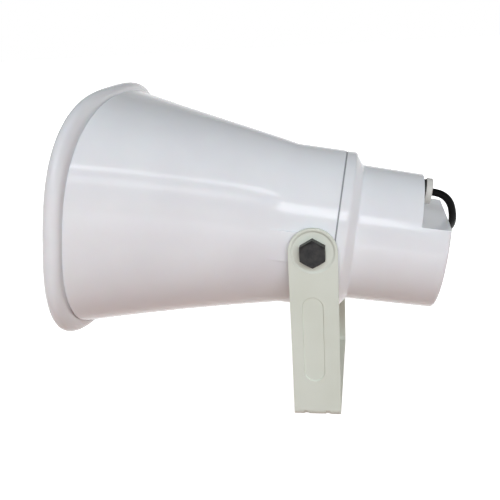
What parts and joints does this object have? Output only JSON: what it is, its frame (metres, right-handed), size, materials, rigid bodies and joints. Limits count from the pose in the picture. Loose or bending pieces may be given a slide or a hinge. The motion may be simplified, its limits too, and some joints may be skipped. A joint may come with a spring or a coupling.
{
  "type": "pa horn speaker",
  "caption": "Paging horn speaker: moulded rectangular reflex horn with its driver and line transformer in the neck, tilting in a pressed steel U bracket.",
  "frame": {"origin": "centre of the middle hole of the bracket's base, on its mounting face", "axes": "+Z away from the mounting face, -X toward the mouth, Y along the tilt axis"},
  "size_m": [0.2795, 0.3434, 0.2341],
  "materials": {
    "white_abs": "gloss white ABS moulding",
    "inner_abs": "gloss white ABS moulding",
    "grey_abs": "plain grey ABS moulding",
    "screw_zinc": "bright zinc plating",
    "black_rubber": "matt rubber",
    "phenolic_film": "thin phenolic sheet",
    "copper_winding": "lacquered copper wire",
    "plated_iron": "zinc-plated iron",
    "ferrite": "ground ferrite",
    "board": "phenolic board",
    "brass_lugs": "tinned brass",
    "lamination_steel": "varnished laminations",
    "winding_tape": "yellow tape over wire",
    "lead_cores": "soft PVC",
    "white_nylon": "natural white nylon",
    "black_steel": "black oxide steel",
    "cream_paint": "cream powder coat",
    "lead_sheath": "black PVC sheath"
  },
  "bodies": {
    "bracket": {"bracket": "cream_paint"},
    "horn": {"horn_flare": "white_abs", "reflector": "inner_abs", "throat_tube": "grey_abs", "bulkhead_screws": "screw_zinc", "neck_gasket": "black_rubber", "phase_plug": "grey_abs", "diaphragm_ring": "grey_abs", "diaphragm": "phenolic_film", "voice_coil": "copper_winding", "top_plate": "plated_iron", "magnet": "ferrite", "yoke": "plated_iron", "driver_screws": "screw_zinc", "terminal_board": "board", "terminal_lugs": "brass_lugs", "transformer_core": "lamination_steel", "transformer_winding": "winding_tape", "transformer_strap": "plated_iron", "transformer_screws": "screw_zinc", "inner_leads": "lead_cores", "supply_cores": "lead_cores", "rear_cover": "white_abs", "cover_screws": "screw_zinc", "bushing_seal": "black_rubber", "cable_bushing": "white_nylon", "boss_inserts": "brass_lugs", "pivot_bolts": "black_steel", "friction_washers": "black_rubber", "cable": "lead_sheath", "cable_coil": "lead_sheath", "cable_cores": "lead_cores"}
  },
  "joints": [
    {"name": "tilt", "type": "hinge", "parent": "bracket", "child": "horn", "pos_m": [0, 0, 0.125], "axis": [0, 1, 0], "range_deg": [-20, 60]}
  ]
}
